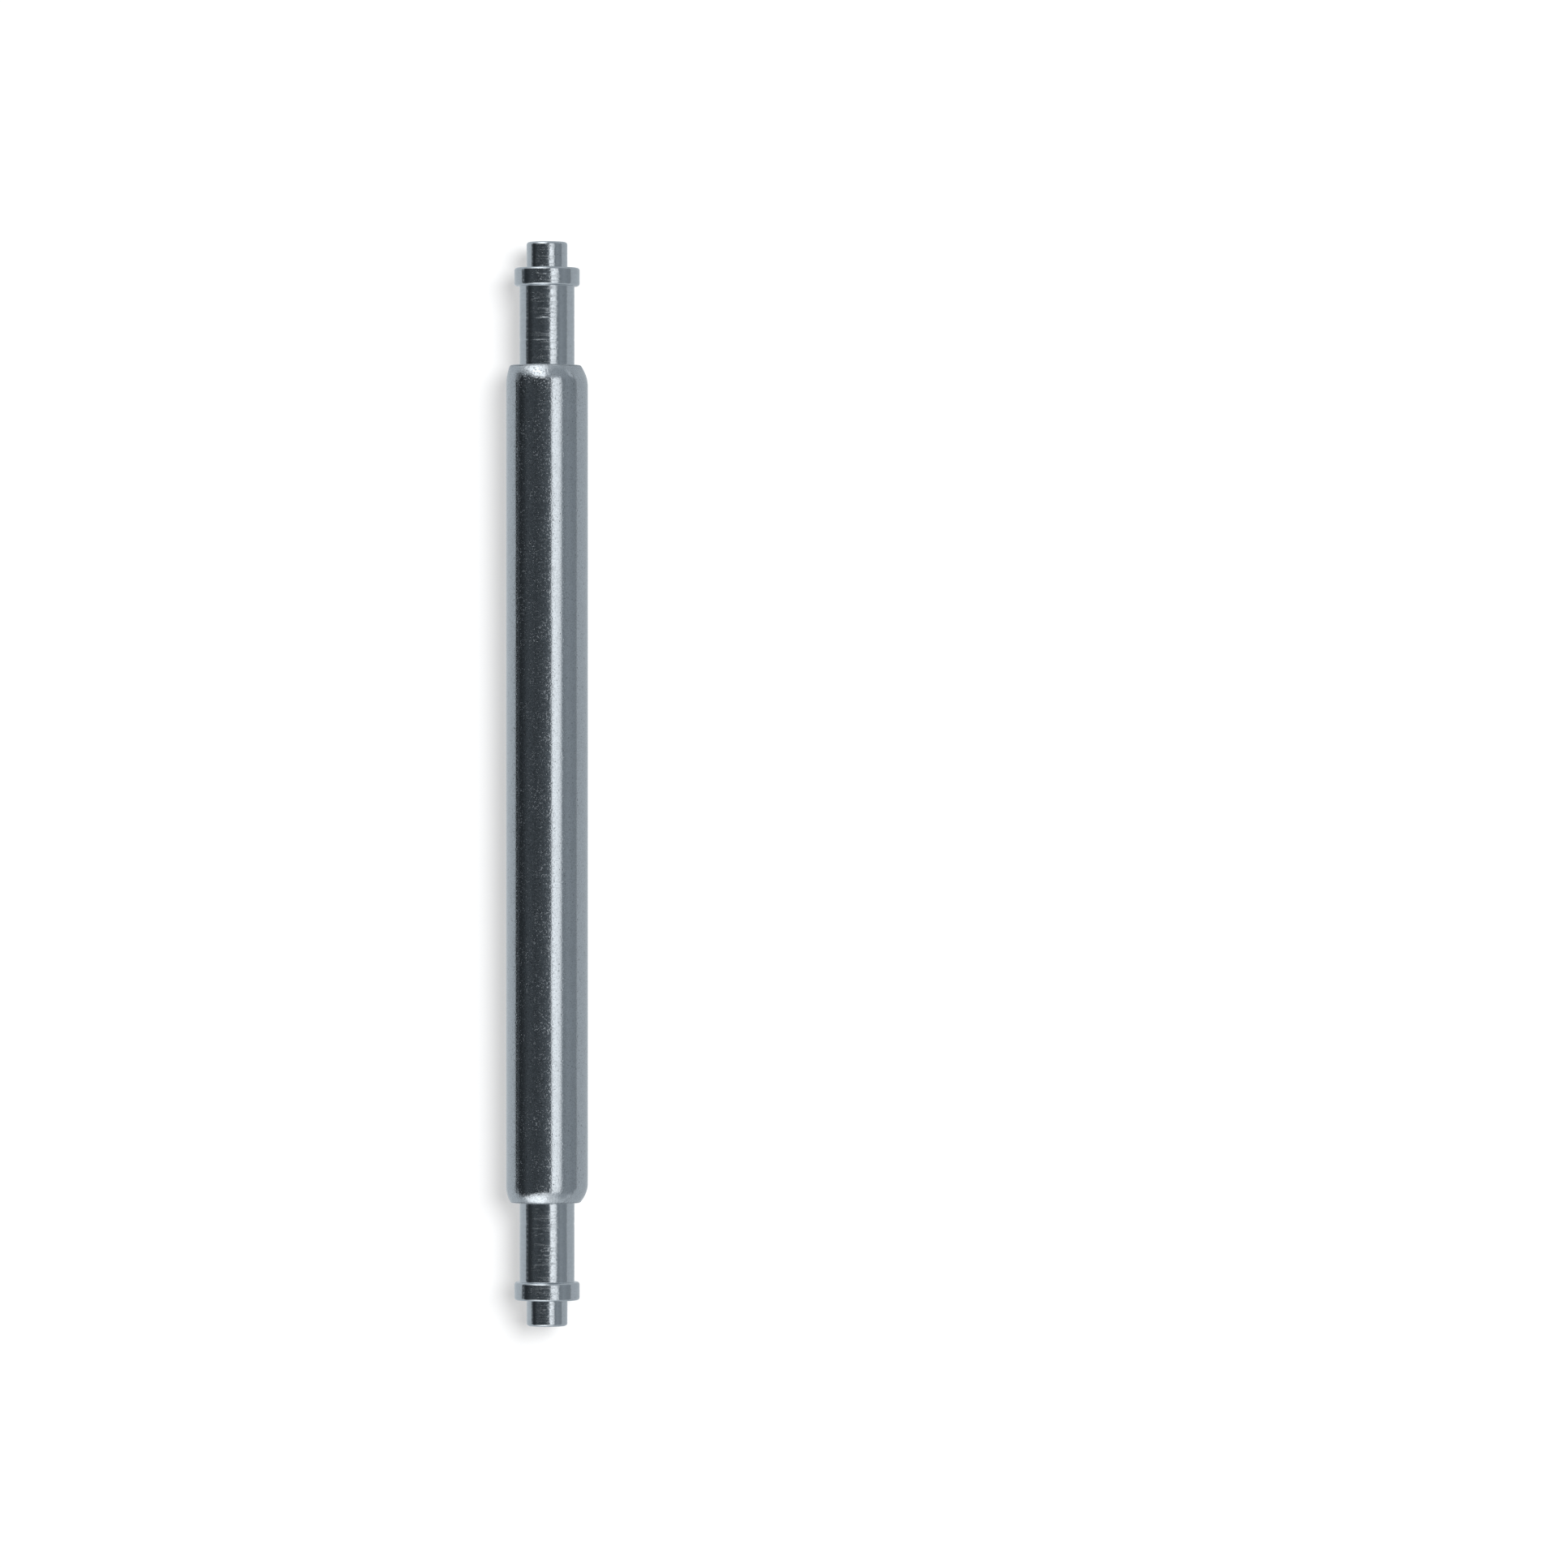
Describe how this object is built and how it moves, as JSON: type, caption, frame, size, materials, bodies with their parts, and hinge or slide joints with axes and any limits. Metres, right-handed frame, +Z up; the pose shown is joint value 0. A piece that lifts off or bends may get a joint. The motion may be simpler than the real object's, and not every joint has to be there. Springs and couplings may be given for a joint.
{
  "type": "watch strap spring bar",
  "caption": "Steel spring bar that holds a watch strap between the case's lugs, with sprung, shouldered pins at both ends of a rolled-end tube.",
  "frame": {"origin": "on the bar's axis, at the middle of the tube", "axes": "+Y along the bar towards the upper pin, +Z up from the surface that the bar lies on, +X to the right as seen from above"},
  "size_m": [0.0018, 0.0238, 0.0018],
  "materials": {
    "tube_steel": "drawn stainless steel, burnished, with fine pits and scuffs",
    "pin_steel": "turned stainless steel with fine turning lines",
    "spring_steel": "drawn stainless spring wire"
  },
  "bodies": {
    "tube": {"tube": "tube_steel", "spring": "spring_steel"},
    "upper_pin": {"upper_pin": "pin_steel"},
    "lower_pin": {"lower_pin": "pin_steel"}
  },
  "joints": [
    {"name": "upper_pin_slide", "type": "slide", "parent": "tube", "child": "upper_pin", "axis": [0, -1, 0], "range_m": [0, 0.0016], "stiffness_N_per_m": 560, "deforming": ["spring"]},
    {"name": "lower_pin_slide", "type": "slide", "parent": "tube", "child": "lower_pin", "axis": [0, 1, 0], "range_m": [0, 0.0016], "stiffness_N_per_m": 560, "deforming": ["spring"]}
  ]
}
